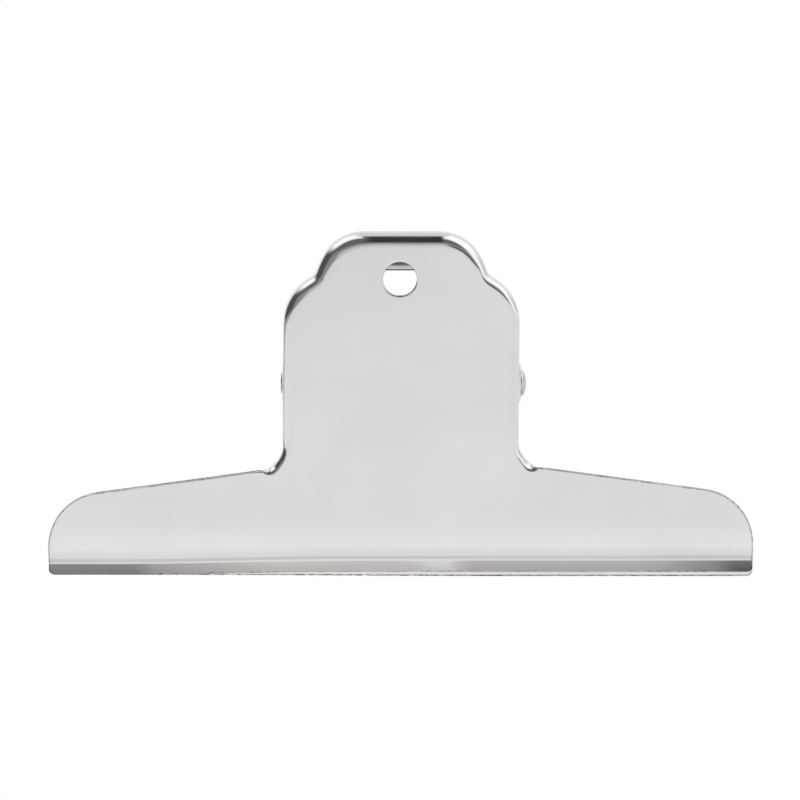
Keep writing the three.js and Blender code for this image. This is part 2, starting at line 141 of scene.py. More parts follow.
def round_over(radius: float, thickness: float) -> Array:
    """Depth and inset down a sheet's cut edge that is rounded at both corners.

    Args:
        radius: Radius of both corners.
        thickness: The sheet's.

    Returns:
        Rows of depth from the outer face and inset from the edge.
    """
    angle = np.linspace(0, QUARTER, ROUND_STEPS + 1)
    depth, inset = radius * (1 - np.cos(angle)), radius * (1 - np.sin(angle))
    return np.concatenate([columns(depth, inset), columns(thickness - depth, inset)[::-1]])


def inside(points: Array, loop: Array) -> Array:
    """Which points lie inside a closed loop in the plane.

    Args:
        points: Rows of two coordinates.
        loop: The loop's corners in order.

    Returns:
        One truth value for each point.
    """
    found = np.zeros(len(points), bool)
    for (ax, ay), (bx, by) in zip(loop, np.roll(loop, -1, axis=0)):
        if ay != by:
            crosses = (ay > points[:, 1]) != (by > points[:, 1])
            reach = ax + (points[:, 1] - ay) * (bx - ax) / (by - ay)
            found ^= crosses & (points[:, 0] < reach)
    return found


def filled(loop: Array, hole: Array, spread: Array, margin: float) -> tuple[Array, Array]:
    """Triangles that fill a flat patch with a hole.

    Args:
        loop: The patch's closed edge.
        hole: The hole's closed edge.
        spread: Points to use inside, where they are clear of the edges.
        margin: The least distance from a used point to any edge point.

    Returns:
        The patch's points in the plane and its triangles.
    """
    def within(points: Array) -> Array:
        """Which points lie on the patch and not in its hole."""
        return inside(points, loop) & ~inside(points, hole)

    rims = np.concatenate([loop, hole])
    spread = spread[within(spread)]
    gaps = np.sqrt(((spread[:, None, :] - rims[None, :, :]) ** 2).sum(axis=2)).min(axis=1)
    edges = [
        (start + i, start + (i + 1) % count)
        for start, count in ((0, len(loop)), (len(loop), len(hole))) for i in range(count)
    ]
    corners = [Vector(row) for row in np.concatenate([rims, spread[gaps > margin]]).tolist()]
    found = delaunay_2d_cdt(corners, edges, [], 0, FILL_TOLERANCE)
    points, triangles = (np.array([list(row) for row in group]) for group in (found[0], found[2]))
    return points, triangles[within(points[triangles].mean(axis=1))]


@dataclass(frozen=True)
class Pressing:
    """Sizes of the bent sheet that both plates share."""

    sheet: float = 0.6
    lean: float = math.radians(11)
    bend_radius: float = 2.0
    lip_height: float = 2.7
    lip_clearance: float = 0.3
    lip_corner: float = 1.3
    lip_bend: float = 0.6
    lip_turn: float = math.radians(70)
    jaw_shoulder: float = 4.0
    jaw_length: float = 145.0
    wing_root: float = 22.6
    wing_slope: float = math.radians(7.75)
    wing_tip: float = 11.5
    waist_radius: float = 5.0
    handle_width: float = 48.4
    crown_height: float = 70.05
    crown_corner: float = 9.6
    crown_corner_turn: float = math.radians(62)
    crown_side: float = 18.0
    crown_side_turn: float = math.radians(9.5)
    neck_radius: float = 3.2
    shoulder_step: float = 5.6
    shoulder_slope: float = math.radians(33.5)
    shoulder_radius: float = 10.3
    flange_depth: float = 4.5
    waist_flange_depth: float = 4.0
    waist_run_out: float = 0.55
    ear_radius: float = 5.0
    ear_clearance: float = 0.3
    pin_height: float = 39.8
    edge_round: float = 0.28

    def bend_runs(self) -> Triple:
        """Runs up from the lip's edge at which the lip, its bend and the shoulder end."""
        bend = self.lip_height + self.lip_bend * self.lip_turn
        return self.lip_height, bend, bend + self.jaw_shoulder * (self.lip_turn - self.lean)

    def section(self, w: Array) -> tuple[Array, Array, Array]:
        """The outer face in section, at distances up the developed sheet.

        Args:
            w: Distances up from the web's foot, below zero down the jaw.

        Returns:
            Distance from the mid-plane, height and heading at each.
        """
        lip, bend, foot = self.bend_runs()
        run = np.asarray(w, float) + foot
        turn, lean = self.lip_turn, self.lean
        in_bend = np.clip((run - lip) / self.lip_bend, 0, turn)
        in_shoulder = np.clip(turn - (run - bend) / self.jaw_shoulder, lean, turn)
        up_web = np.maximum(run - foot, 0)
        distance = (
            self.lip_clearance / 2 + self.sheet + self.lip_bend * (1 - np.cos(in_bend))
            + self.jaw_shoulder * (np.cos(in_shoulder) - math.cos(turn)) + up_web * math.sin(lean)
        )
        height = (
            np.minimum(run, lip) + self.lip_bend * np.sin(in_bend)
            + self.jaw_shoulder * (math.sin(turn) - np.sin(in_shoulder)) + up_web * math.cos(lean)
        )
        return distance, height, np.where(run <= bend, in_bend, in_shoulder)

    def folded(self, flat: Array, thickness: float) -> Array:
        """Points of the developed sheet, folded into their place in space.

        Args:
            flat: Rows of x and w.
            thickness: Depth in from the outer face.

        Returns:
            Rows of x, y and z for the front plate.
        """
        distance, height, heading = self.section(flat[:, 1])
        out, up = distance - thickness * np.cos(heading), height + thickness * np.sin(heading)
        return columns(flat[:, 0], -out, up)

    def foot(self) -> Pair:
        """Distance from the mid-plane and height of the flat web's foot."""
        distance, height, _ = self.section(np.zeros(1))
        return float(distance[0]), float(height[0])

    def up_web(self, height: float) -> float:
        """Distance up the web of a height above the jaw line."""
        return (height - self.foot()[1]) / math.cos(self.lean)

    def placed(self, x: Array, w: Array, depth: Array) -> Array:
        """Points by their place on the flat web.

        Args:
            x: Distance along the jaw.
            w: Distance up the web from its foot.
            depth: Depth in from its outer face.

        Returns:
            Rows of x, y and z for the front plate.
        """
        distance, height = self.foot()
        sine, cosine = math.sin(self.lean), math.cos(self.lean)
        out = distance + w * sine - depth * cosine
        return columns(x, -out, height + w * cosine + depth * sine)

    def on_web(self, out: Array, up: Array) -> tuple[Array, Array]:
        """The place on the flat web of points in space.

        Args:
            out: Distance from the mid-plane.
            up: Height.

        Returns:
            Distance up the web from its foot and depth in from its outer face.
        """
        distance, height = self.foot()
        sine, cosine = math.sin(self.lean), math.cos(self.lean)
        out, up = out - distance, up - height
        return out * sine + up * cosine, up * sine - out * cosine

    def pin_place(self) -> Pair:
        """The pin's axis as a distance up the web and a depth in from it."""
        return self.on_web(0.0, self.pin_height)


class OutlinePen:
    """Draws half of a plate's developed outline, clockwise from the crown's middle."""

    ARC_STEP = math.radians(3)
    LEAST_ARC_STEPS = 4
    LINE_STEP = 1.6

    def __init__(self, w: float) -> None:
        """Starts at the crown's middle, heading along +X."""
        self.x, self.w, self.heading, self.stretch = 0.0, w, 0.0, 0
        self.rows: list[tuple[float, ...]] = []

    def put(self) -> None:
        """Adds a row of x, w, the outward normal and the number of the stretch."""
        normal = math.sin(self.heading), math.cos(self.heading)
        self.rows.append((self.x, self.w, *normal, self.stretch))

    def line(self, length: float, step: float = LINE_STEP) -> None:
        """Draws a straight stretch.

        Args:
            length: How far it goes.
            step: The most that a step may measure.
        """
        count = max(1, math.ceil(length / step))
        for _ in range(count):
            self.x += length / count * math.cos(self.heading)
            self.w -= length / count * math.sin(self.heading)
            self.put()

    def arc(self, radius: float, turn: float) -> None:
        """Draws an arc.

        Args:
            radius: Its radius.
            turn: How far it turns, to the right where above zero.
        """
        side = math.copysign(1, turn)
        x, w, start = self.x, self.w, self.heading
        count = max(self.LEAST_ARC_STEPS, math.ceil(abs(turn) / self.ARC_STEP))
        for i in range(1, count + 1):
            self.heading = start + turn * i / count
            self.x = x + side * radius * (math.sin(self.heading) - math.sin(start))
            self.w = w - side * radius * (math.cos(start) - math.cos(self.heading))
            self.put()

    def drop(self, levels: list[float]) -> None:
        """Goes straight down through the given values of w."""
        for level in levels:
            self.w = level
            self.put()


class Patchwork:
    """Patches of faces in millimetres, joined where their points meet."""

    def __init__(self) -> None:
        """Starts with nothing."""
        self.points: list[Array] = []
        self.faces: list[Array] = []
        self.count = 0

    def add(self, points: Array, faces: Array) -> None:
        """Adds a patch by its points and its rows of corner numbers."""
        self.points.append(points)
        self.faces.append(np.asarray(faces, int) + self.count)
        self.count += len(points)

    def strip(self, rows: Array, closed: bool = False) -> None:
        """Adds quads between neighbouring rows of points.

        Args:
            rows: An array of rows by columns by 3.
            closed: Whether the last row joins the first.
        """
        height, width = rows.shape[:2]
        number = np.arange(height * width).reshape(height, width)
        after = np.roll(number, -1, axis=0) if closed else number[1:]
        before = number if closed else number[:-1]
        quads = columns(before[:, :-1], before[:, 1:], after[:, 1:], after[:, :-1])
        self.add(rows.reshape(-1, 3), quads.reshape(-1, 4))

    def tube(self, rings: list[Array]) -> None:
        """Adds a wall of quads through closed rings with as many points each."""
        self.strip(np.stack(rings, axis=1), closed=True)

    def built(self, name: str,
              settle: Callable[[Array], Array] | None = None) -> bpy.types.Object:
        """Joins the patches into one smooth mesh with area-weighted normals.

        Args:
            name: The piece's name.
            settle: A change made to the points before the normals are taken.

        Returns:
            The new object.
        """
        points = np.concatenate(self.points)
        if settle is not None:
            points = settle(points)
        mesh = bpy.data.meshes.new(name)
        faces = [row.tolist() for group in self.faces for row in group]
        mesh.from_pydata((points * MM).tolist(), [], faces)
        work = bmesh.new()
        work.from_mesh(mesh)
        bmesh.ops.remove_doubles(work, verts=work.verts, dist=JOIN_DISTANCE)
        bmesh.ops.dissolve_degenerate(work, edges=work.edges, dist=JOIN_DISTANCE / 10)
        bmesh.ops.recalc_face_normals(work, faces=work.faces)
        open_edges = sum(1 for edge in work.edges if len(edge.link_faces) != 2)
        work.to_mesh(mesh)
        work.free()
        mesh.validate()
        self.smooth(mesh)
        piece = bpy.data.objects.new(name, mesh)
        bpy.context.scene.collection.objects.link(piece)
        LOG.info("%s: %d faces, %d open edges", name, len(mesh.polygons), open_edges)
        return piece

    @staticmethod
    def smooth(mesh: bpy.types.Mesh) -> None:
        """Gives every point the area-weighted normal of its faces.

        Args:
            mesh: The mesh to change.
        """
        def read(group: bpy.types.bpy_prop_collection, name: str, width: int = 1,
                 kind: type = float) -> Array:
            """One property of a group of the mesh's elements."""
            found = np.zeros(len(group) * width, kind)
            group.foreach_get(name, found)
            return found

        faces = mesh.polygons
        faces.foreach_set("use_smooth", np.ones(len(faces), bool))
        facing = read(faces, "normal", 3).reshape(-1, 3) * read(faces, "area")[:, None]
        weighted = np.repeat(facing, read(faces, "loop_total", kind=int), axis=0)
        normals = np.zeros((len(mesh.vertices), 3))
        np.add.at(normals, read(mesh.loops, "vertex_index", kind=int), weighted)
        normals /= np.maximum(np.linalg.norm(normals, axis=1, keepdims=True), LEAST_LENGTH)
        mesh.normals_split_custom_set_from_vertices(normals.tolist())


@dataclass(frozen=True)
class Settling:
    """How far a real plate stands from its drawn shape. Low X comes first in each pair."""

    lift: Pair = (0.0, 0.0)
    lift_at_lip: Pair = (-60.0, -8.0)
    lift_at_wing: Pair = (-30.0, 4.0)
    wing_heights: Pair = (3.0, 13.0)
    lift_fade: Pair = (22.0, 38.0)
    lip_short: Pair = (0.0, 0.0)
    lip_turn: float = 0.4
    lip_turns: tuple[Triple, ...] = ()
    lip_curl: float = 0.0
    lip_top: float = 3.1
    crown_shift: float = 0.0
    crown_heights: Pair = (22.0, 62.0)
    crown_flanks: Pair = (5.0, 13.0)

    def moved(self, points: Array) -> Array:
        """The plate's points where they really stand.

        Args:
            points: Rows of x, y and z as drawn.

        Returns:
            Rows of x, y and z.
        """
        x, y, z = points.T
        on_wing = eased(z, *self.wing_heights)
        start, end = (
            lip + on_wing * (wing - lip) for lip, wing in zip(self.lift_at_lip, self.lift_at_wing)
        )
        across = eased(x, start, end)
        lift, short = (low + (high - low) * across for low, high in (self.lift, self.lip_short))
        below = np.clip(self.lip_top - z, 0, None)
        turn = self.lip_turn + sum(more * eased(x, *ends) for more, *ends in self.lip_turns)
        on_crown = eased(z, *self.crown_heights) * eased(np.abs(x), *self.crown_flanks)
        return columns(
            x + self.crown_shift * on_crown,
            y - np.tan(np.radians(turn)) * below - self.lip_curl * below**2,
            z + lift * (1 - eased(z, *self.lift_fade)) + short * below / self.lip_top,
        )


@dataclass
class PressedPlate:
    """One pressed plate: web, flange, ears, wings and gripping lip."""

    name: str
    body: Body
    form: Pressing = Pressing()
    inset: float = 0.0
    seats: bool = False
    hole_radius: float = 3.5
    hole_below_crown: float = 9.0
    hole_side: float = 0.0
    hole_roll: float = 0.6
    hole_steps: int = 8
    seat_radius: float = 3.6
    seat_height: Pair = (0.24, 0.46)
    seat_slope: float = 0.8
    pin_hole: float = 1.9
    pin_sides: int = 64
    bend_steps: int = 12
    straight_steps: int = 3
    jaw_rows: tuple[int, int, int] = (8, 15, 25)
    shoulder_room: float = 0.9
    neck_step: float = 0.4
    side_step: float = 0.5
    level_gaps: Pair = (0.02, 0.05)
    flange_blend: float = 0.8
    bend_blend: float = 1.4
    web_columns: tuple[float, float, int] = (-71.0, 71.0, 73)
    web_rows: Triple = (1.2, 62.0, 2.6)
    web_margin: float = 0.2
    ear_columns: Triple = (22.0, 47.0, 2.0)
    ear_rows: Triple = (3.2, 14.0, 1.8)
    ear_rings: tuple[float, float, int] = (2.3, 4.6, 13)
    ear_lobe: float = 5.0
    ear_margin: float = 0.15
    settling: Settling = Settling()
    bends_left: tuple[Pair, ...] = (
        (2.1, 2.6), (2.3, 4.2), (2.1, 3.8), (1.9, 1.9), (2.1, 2.7), (1.9, 1.8), (1.6, 0.0),
    )
    bends_right: tuple[Pair, ...] = (
        (2.1, 2.6), (2.1, 2.2), (1.5, 1.4), (1.4, 0.8), (1.3, 1.4), (1.5, 1.0), (1.4, 0.0),
    )

    def half_outline(self) -> list[Array]:
        """Half of the developed outline, in the parts that get different flanges.

        Returns:
            For each Part, rows of x, w, outward normal and stretch number.
        """
        form = self.form
        steepest = form.crown_corner_turn + form.crown_side_turn
        arcs = (
            (form.crown_corner, 0.0, form.crown_corner_turn),
            (form.crown_side, form.crown_corner_turn, steepest),
            (form.neck_radius, steepest, form.shoulder_slope),
        )
        reach = sum(radius * abs(math.sin(end) - math.sin(start)) for radius, start, end in arcs)
        pen = OutlinePen(form.up_web(form.crown_height))
        pen.put()
        pen.line(form.handle_width / 2 - form.shoulder_step - reach)
        for radius, start, end in arcs:
            pen.stretch += 1
            pen.arc(radius, end - start)
        step = form.shoulder_step - self.inset
        share = 1 - math.sin(form.shoulder_slope)
        radius = min(form.shoulder_radius, self.shoulder_room * step / share)
        pen.line((step - radius * share) / math.cos(form.shoulder_slope), self.neck_step)
        pen.stretch += 1
        pen.arc(radius, QUARTER - form.shoulder_slope)
        ends = [len(pen.rows)]

        waist_turn = QUARTER - form.wing_slope
        waist_w = form.up_web(form.wing_root) + form.waist_radius * math.tan(waist_turn / 2)
        pen.stretch += 1
        pen.line(pen.w - waist_w, self.side_step)
        ends.append(len(pen.rows) - 1)
        pen.stretch += 1
        pen.arc(form.waist_radius, -waist_turn)
        ends.append(len(pen.rows))

        tip_start = form.jaw_length / 2 - form.wing_tip * (1 - math.sin(form.wing_slope))
        pen.line((tip_start - pen.x) / math.cos(form.wing_slope))
        pen.arc(form.wing_tip, QUARTER - form.wing_slope)
        levels, corner_w = self.jaw_levels(), form.lip_corner - form.bend_runs()[2]
        below, above = self.level_gaps
        used = (levels < pen.w - above) & (levels > corner_w + below)
        pen.drop([*levels[used].tolist(), corner_w])
        pen.arc(form.lip_corner, QUARTER)
        pen.line(pen.x)
        return np.split(np.array(pen.rows), ends)

    def jaw_levels(self) -> Array:
        """Values of w at the rows of the lip and the two bends of the jaw."""
        ends = (0.0, *self.form.bend_runs())
        lip, bend, jaw = (np.linspace(*row) for row in zip(ends, ends[1:], self.jaw_rows))
        return (np.concatenate([lip[1:-1], bend, jaw[1:]]) - ends[-1])[::-1]

    def ear_depth(self, w: Array, upper: float, lower: float) -> Array:
        """How deep the handle's side reaches: a lobe round the pin with straight flanks.

        Args:
            w: Distances up the web.
            upper: Where the ear starts under the handle's shoulder.
            lower: Where it ends above the waist.

        Returns:
            Depth at each.
        """
        form, touches = self.form, []
        centre = np.array(form.pin_place())
        for end, side in (((upper, form.flange_depth), 1), ((lower, form.waist_flange_depth), -1)):
            reach = np.array(end) - centre
            angle = math.atan2(reach[1], reach[0])
            angle += side * math.acos(form.ear_radius / float(np.hypot(*reach)))
            touches.append(centre + form.ear_radius * np.array([math.cos(angle), math.sin(angle)]))
        high, low = touches
        lobe = centre[1] + np.sqrt(np.maximum(form.ear_radius**2 - (w - centre[0]) ** 2, 0))
        above = np.interp(w, [high[0], upper], [high[1], form.flange_depth])
        below = np.interp(w, [lower, low[0]], [form.waist_flange_depth, low[1]])
        return np.where(w > high[0], above, np.where(w < low[0], below, lobe))

    def edge_samples(self) -> Samples:
        """The closed outline with its flange's bend and straight length.

        Returns:
            Arrays by name: x, w, nx, nw, bend, straight, the Part, tight and lead.
        """
        form, parts = self.form, self.half_outline()
        handle, side, waist, wing = parts
        outline = np.concatenate(parts)
        kind = np.repeat(np.arange(len(parts)), [len(part) for part in parts])
        flanged = kind != Part.WING
        share = 1 - np.arange(len(waist)) / (len(waist) - 1)
        waist_straight = (form.waist_flange_depth - form.bend_radius) * share
        straight = np.concatenate([
            np.full(len(handle), form.flange_depth - form.bend_radius),
            self.ear_depth(side[:, 1], handle[-1, 1], waist[0, 1]) - form.bend_radius,
            waist_straight,
        ])
        steps = np.hypot(*np.diff(outline[flanged, :2], axis=0).T)
        travel = np.concatenate([[0], np.cumsum(steps)])
        straight = blurred(straight, travel, self.flange_blend)
        straight[-3:] = waist_straight[-3:]
        straight = np.concatenate([straight, np.zeros(len(wing))])
        bend = np.where(flanged, QUARTER, 0.0)
        bend[kind == Part.WAIST] *= np.sin(np.minimum(1, share / form.waist_run_out) * QUARTER)
        halves = []
        for sign, bends in ((1, self.bends_right), (-1, self.bends_left)):
            shapes = np.array(bends)[outline[:, 4].astype(int)]
            shapes[flanged] = blurred(shapes[flanged], travel, self.bend_blend)
            shapes[kind == Part.WAIST, 1] *= np.clip(share / form.waist_run_out, 0, 1)
            tight, lead = shapes.T
            deeper = self.bend_place(QUARTER, tight, lead)[1] - form.bend_radius
            kept = np.maximum(straight - deeper, form.edge_round)
            half = np.column_stack([
                outline[:, :4] * (sign, 1, sign, 1), bend, np.where(flanged, kept, straight),
                kind, tight, lead,
            ])
            halves.append(half if sign > 0 else half[-2:0:-1])
        names = ("x", "w", "nx", "nw", "bend", "straight", "kind", "tight", "lead")
        return dict(zip(names, np.concatenate(halves).T))

    @staticmethod
    def bend_place(angle: Array | float, tight: Array, lead: Array) -> tuple[Array, Array]:
        """How far out and how deep the bend reaches at an angle.

        The bend starts gently: its radius is the tight one plus a lead-in that fades
        with the square of what is left of the sine.

        Args:
            angle: Turn from the web, in radians.
            tight: The radius where the bend ends.
            lead: The extra radius where it starts.

        Returns:
            Distance out and depth in, in millimetres.
        """
        sine, cosine = np.sin(angle), np.cos(angle)
        out = tight * sine + lead * (1 - (1 - sine) ** 3) / 3
        gentle = (1 - cosine) - (angle - sine * cosine) + (2 - 3 * cosine + cosine**3) / 3
        return out, tight * (1 - cosine) + lead * gentle

    def flange(self, edge: Samples, angle: Array, along: Array, thickness: float) -> Array:
        """Points on the flange's skin.

        Args:
            edge: The outline's samples.
            angle: Turn of the bend at each.
            along: Straight length past the bend at each.
            thickness: Depth in from the outer face.

        Returns:
            Rows of x, y and z.
        """
        out, depth = self.bend_place(angle, edge["tight"], edge["lead"])
        out = out + along * np.cos(angle) - thickness * np.sin(angle)
        depth = depth + along * np.sin(angle) + thickness * np.cos(angle)
        flat = self.shifted(edge, out - self.web_inset(edge))
        on_web = self.form.placed(flat[:, 0], flat[:, 1], depth)
        folded = self.form.folded(flat, thickness)
        return np.where((edge["kind"] == Part.WING)[:, None], folded, on_web)

    @staticmethod
    def shifted(edge: Samples, offset: Array) -> Array:
        """Rows of x and w that lie outside the outline's samples by an offset."""
        return columns(edge["x"] + edge["nx"] * offset, edge["w"] + edge["nw"] * offset)

    def web_inset(self, edge: Samples) -> Array:
        """How far inside the outline the flat web ends, at each of its samples."""
        reach = self.bend_place(edge["bend"], edge["tight"], edge["lead"])[0]
        return reach + edge["straight"] * np.cos(edge["bend"])

    def outward(self, edge: Samples, tips: Array, into: Array) -> Array:
        """The direction out of the sheet's edge, within its surface.

        Args:
            edge: The outline's samples.
            tips: The edge's points on the outer face.
            into: Direction through the sheet at each.

        Returns:
            Unit vectors.
        """
        across = unit(np.cross(np.roll(tips, -1, axis=0) - np.roll(tips, 1, axis=0), into))
        heading = self.form.section(edge["w"])[2]
        flat = columns(edge["nx"], -edge["nw"] * np.sin(heading), edge["nw"] * np.cos(heading))
        small_step = 0.01
        guide = self.flange(edge, edge["bend"], edge["straight"] + small_step, 0.0) - tips
        across *= np.sign((across * guide).sum(axis=1))[:, None]
        return np.where((edge["kind"] == Part.WING)[:, None], flat, across)

    def add_web(self, work: Patchwork, edge: Samples, thickness: float, hole: float) -> None:
        """Adds one skin of the web and jaw, with the hanging hole open.

        Args:
            work: The plate's patches.
            edge: The outline's samples.
            thickness: Depth in from the outer face.
            hole: The opening's radius in this skin.
        """
        levels = np.concatenate([self.jaw_levels(), np.arange(*self.web_rows)])
        spread = lattice(np.linspace(*self.web_columns), levels)
        loop = self.shifted(edge, -self.web_inset(edge))
        opening = circle(self.hole_centre(), hole)
        points, triangles = filled(loop, opening, spread, self.web_margin)
        work.add(self.form.folded(points, thickness), triangles)

    def hole_centre(self) -> Pair:
        """The hanging hole's centre in the developed sheet."""
        return self.hole_side, self.form.up_web(self.form.crown_height - self.hole_below_crown)

    def add_hole_wall(self, work: Patchwork) -> None:
        """Adds the hanging hole's wall, rolled over at the outer face.

        Args:
            work: The plate's patches.
        """
        small, sheet, radius = self.form.edge_round, self.form.sheet, self.hole_radius
        wide = np.linspace(0, QUARTER, self.hole_steps + 1)
        tight = wide[::3]
        profile = np.concatenate([
            columns(radius + self.hole_roll * (1 - np.sin(wide)), (sheet - small) * (1 - np.cos(wide))),
            columns(radius + small * (1 - np.cos(tight)), sheet - small * (1 - np.sin(tight))),
        ])
        rings = [(circle(self.hole_centre(), reach).T, depth) for reach, depth in profile]
        work.tube([self.form.placed(*ring, depth) for ring, depth in rings])

    def seat_rise(self, points: Array, side: int) -> Array:
        """How far a rivet head's raised seat stands out at points of an ear.

        Args:
            points: Rows of w and depth.
            side: 1 for the ear at +X, -1 for the other.

        Returns:
            Height over the ear's face at each.
        """
        if not self.seats:
            return np.zeros(len(points))
        reach = np.hypot(*(points - np.array(self.form.pin_place())).T)
        rise = eased(reach, self.seat_radius + self.seat_slope, self.seat_radius)
        return self.seat_height[side > 0] * rise

    def add_ear(self, work: Patchwork, loop: Array, side: int) -> None:
        """Adds both skins of one ear and the wall of its pin hole.

        Args:
            work: The plate's patches.
            loop: The ear's edge as rows of w and depth.
            side: 1 for the ear at +X, -1 for the other.
        """
        form, centre = self.form, self.form.pin_place()

        def ring(radius: float) -> Array:
            """A circle round the pin, as rows of w and depth."""
            return circle(centre, radius, self.pin_sides)

        def at(points: Array, depth: float) -> Array:
            """Points of the ear in space, at a depth under its outer face."""
            half = form.handle_width / 2 - self.inset
            x = side * (half - depth + self.seat_rise(points, side))
            return form.placed(x, points[:, 0], points[:, 1])

        far = lattice(np.arange(*self.ear_columns), np.arange(*self.ear_rows))
        far = far[np.hypot(*(far - np.array(centre)).T) > self.ear_lobe]
        near = [ring(radius) for radius in np.linspace(*self.ear_rings)]
        mouth = ring(self.pin_hole + form.edge_round)
        points, triangles = filled(loop, mouth, np.concatenate([*near, far]), self.ear_margin)
        for thickness in (0.0, form.sheet):
            work.add(at(points, thickness), triangles)
        work.tube([
            at(ring(self.pin_hole + inset), depth)
            for depth, inset in round_over(form.edge_round, form.sheet)
        ])

    def build(self) -> bpy.types.Object:
        """Builds the plate, turned half round about Z when it rides on the back body.

        Returns:
            The plate's object.
        """
        form, edge, work = self.form, self.edge_samples(), Patchwork()
        bend, straight = edge["bend"], edge["straight"]
        tips = self.flange(edge, bend, straight, 0.0)
        into = (self.flange(edge, bend, straight, form.sheet) - tips) / form.sheet
        out = self.outward(edge, tips, into)
        for thickness, roll in ((0.0, self.hole_roll), (form.sheet, form.edge_round)):
            bent = [
                self.flange(edge, bend * i / self.bend_steps, 0 * bend, thickness)
                for i in range(self.bend_steps + 1)
            ]
            work.tube(bent)
            end = bent[-1]
            border = tips + into * thickness - out * form.edge_round
            rows = np.stack([
                end + (border - end) * i / self.straight_steps
                for i in range(self.straight_steps + 1)
            ], axis=1)
            for start, stop in self.flat_runs(edge["kind"] == Part.SIDE):
                work.strip(rows[np.arange(start, stop + 1) % len(rows)])
            self.add_web(work, edge, thickness, self.hole_radius + roll)
        rounded = round_over(form.edge_round, form.sheet)
        work.tube([tips + into * depth - out * inset for depth, inset in rounded])
        self.add_hole_wall(work)
        border = tips - out * form.edge_round
        for side in (1, -1):
            self.add_ear(work, self.ear_loop(edge, border, side), side)
        piece = work.built(self.name, self.settling.moved)
        if self.body is Body.BACK:
            piece.rotation_euler = (0, 0, math.pi)
        return piece

    @staticmethod
    def flat_runs(ears: Array) -> list[tuple[int, int]]:
        """The stretches of the outline between the two ears' samples.

        Args:
            ears: Which samples belong to an ear.

        Returns:
            The first and last number of each stretch.
        """
        marks = np.flatnonzero(ears)
        gap = int(np.flatnonzero(np.diff(marks) > 1)[0])
        right, left = (marks[0], marks[gap]), (marks[gap + 1], marks[-1])
        return [(right[1] + 1, left[0] - 1), (left[1] + 1, right[0] - 1 + len(ears))]

    def ear_loop(self, edge: Samples, border: Array, side: int) -> Array:
        """The edge of an ear's flat part as rows of w and depth.

        Args:
            edge: The outline's samples.
            border: The outer skin's last points, at the start of the rounded edge.
            side: 1 for the ear at +X, -1 for the other.

        Returns:
            A closed loop.
        """
        marks = np.flatnonzero((edge["kind"] == Part.SIDE) & (np.sign(edge["x"]) == side))
        marks = np.concatenate([[marks[0] - 1], marks, [marks[-1] + 1]])
        tip = columns(*self.form.on_web(-border[marks, 1], border[marks, 2]))
        bent = self.bend_place(edge["bend"][marks], edge["tight"][marks], edge["lead"][marks])[1]
        root = columns(edge["w"][marks], bent)
        share = (np.arange(1, self.straight_steps) / self.straight_steps)[:, None]
        down = root[-1] + (tip[-1] - root[-1]) * share
        back = tip[0] + (root[0] - tip[0]) * share
        return np.concatenate([root, down, tip[::-1], back])


@dataclass
class RivetPin:
    """The rivet: a domed head at +X, a plain shaft and a peened end at -X."""

    form: Pressing = Pressing()
    radius: float = 1.6
    dome_radius: float = 2.7
    dome_height: float = 1.15
    peened_radius: float = 2.2
    peened_height: float = 0.3
    rim: float = 0.12
    rim_steps: int = 4
    crown_steps: int = 18
    hammering: float = 0.02
    hammer_phase: float = 0.6
    hammer_margin: float = 0.05
    seat_height: float = 0.3
    head_clearance: float = 0.1
    slide: float = 0.14
    sides: int = 96

    def head(self, radius: float, height: float) -> Array:
        """The section of one head, from its shaft to its crown.

        Args:
            radius: The head's radius.
            height: Its height over the seat.

        Returns:
            Rows of radius and stand-off.
        """
        rim, angle = self.rim, np.linspace(0, QUARTER, self.rim_steps + 1)
        under = columns(radius - rim * (1 - np.sin(angle)), rim * (1 - np.cos(angle)))
        curve = np.linspace(0, QUARTER, self.crown_steps + 1)[1:]
        over = columns(radius * np.cos(curve), rim + (height - rim) * np.sin(curve))
        return np.concatenate([[[self.radius, 0.0]], under, over])

    def build(self) -> bpy.types.Object:
        """Builds the pin on the hinge's axis.

        Returns:
            The pin's object.
        """
        seat = self.form.handle_width / 2 + self.seat_height + self.head_clearance
        domed = self.head(self.dome_radius, self.dome_height)
        peened = self.head(self.peened_radius, self.peened_height)[::-1]
        profile = [(-seat - rise, reach) for reach, rise in peened]
        profile += [(seat + rise, reach) for reach, rise in domed]
        angle = np.arange(self.sides) * 2 * math.pi / self.sides
        uneven = self.hammering * np.sin(3 * angle + self.hammer_phase)
        rings = []
        for x, reach in profile:
            spoke = reach * (1 + uneven * (x < -seat - self.hammer_margin))
            up = self.form.pin_height + spoke * np.cos(angle)
            rings.append(columns(x + self.slide, spoke * np.sin(angle), up))
        work = Patchwork()
        work.tube(rings)
        return work.built("pin")


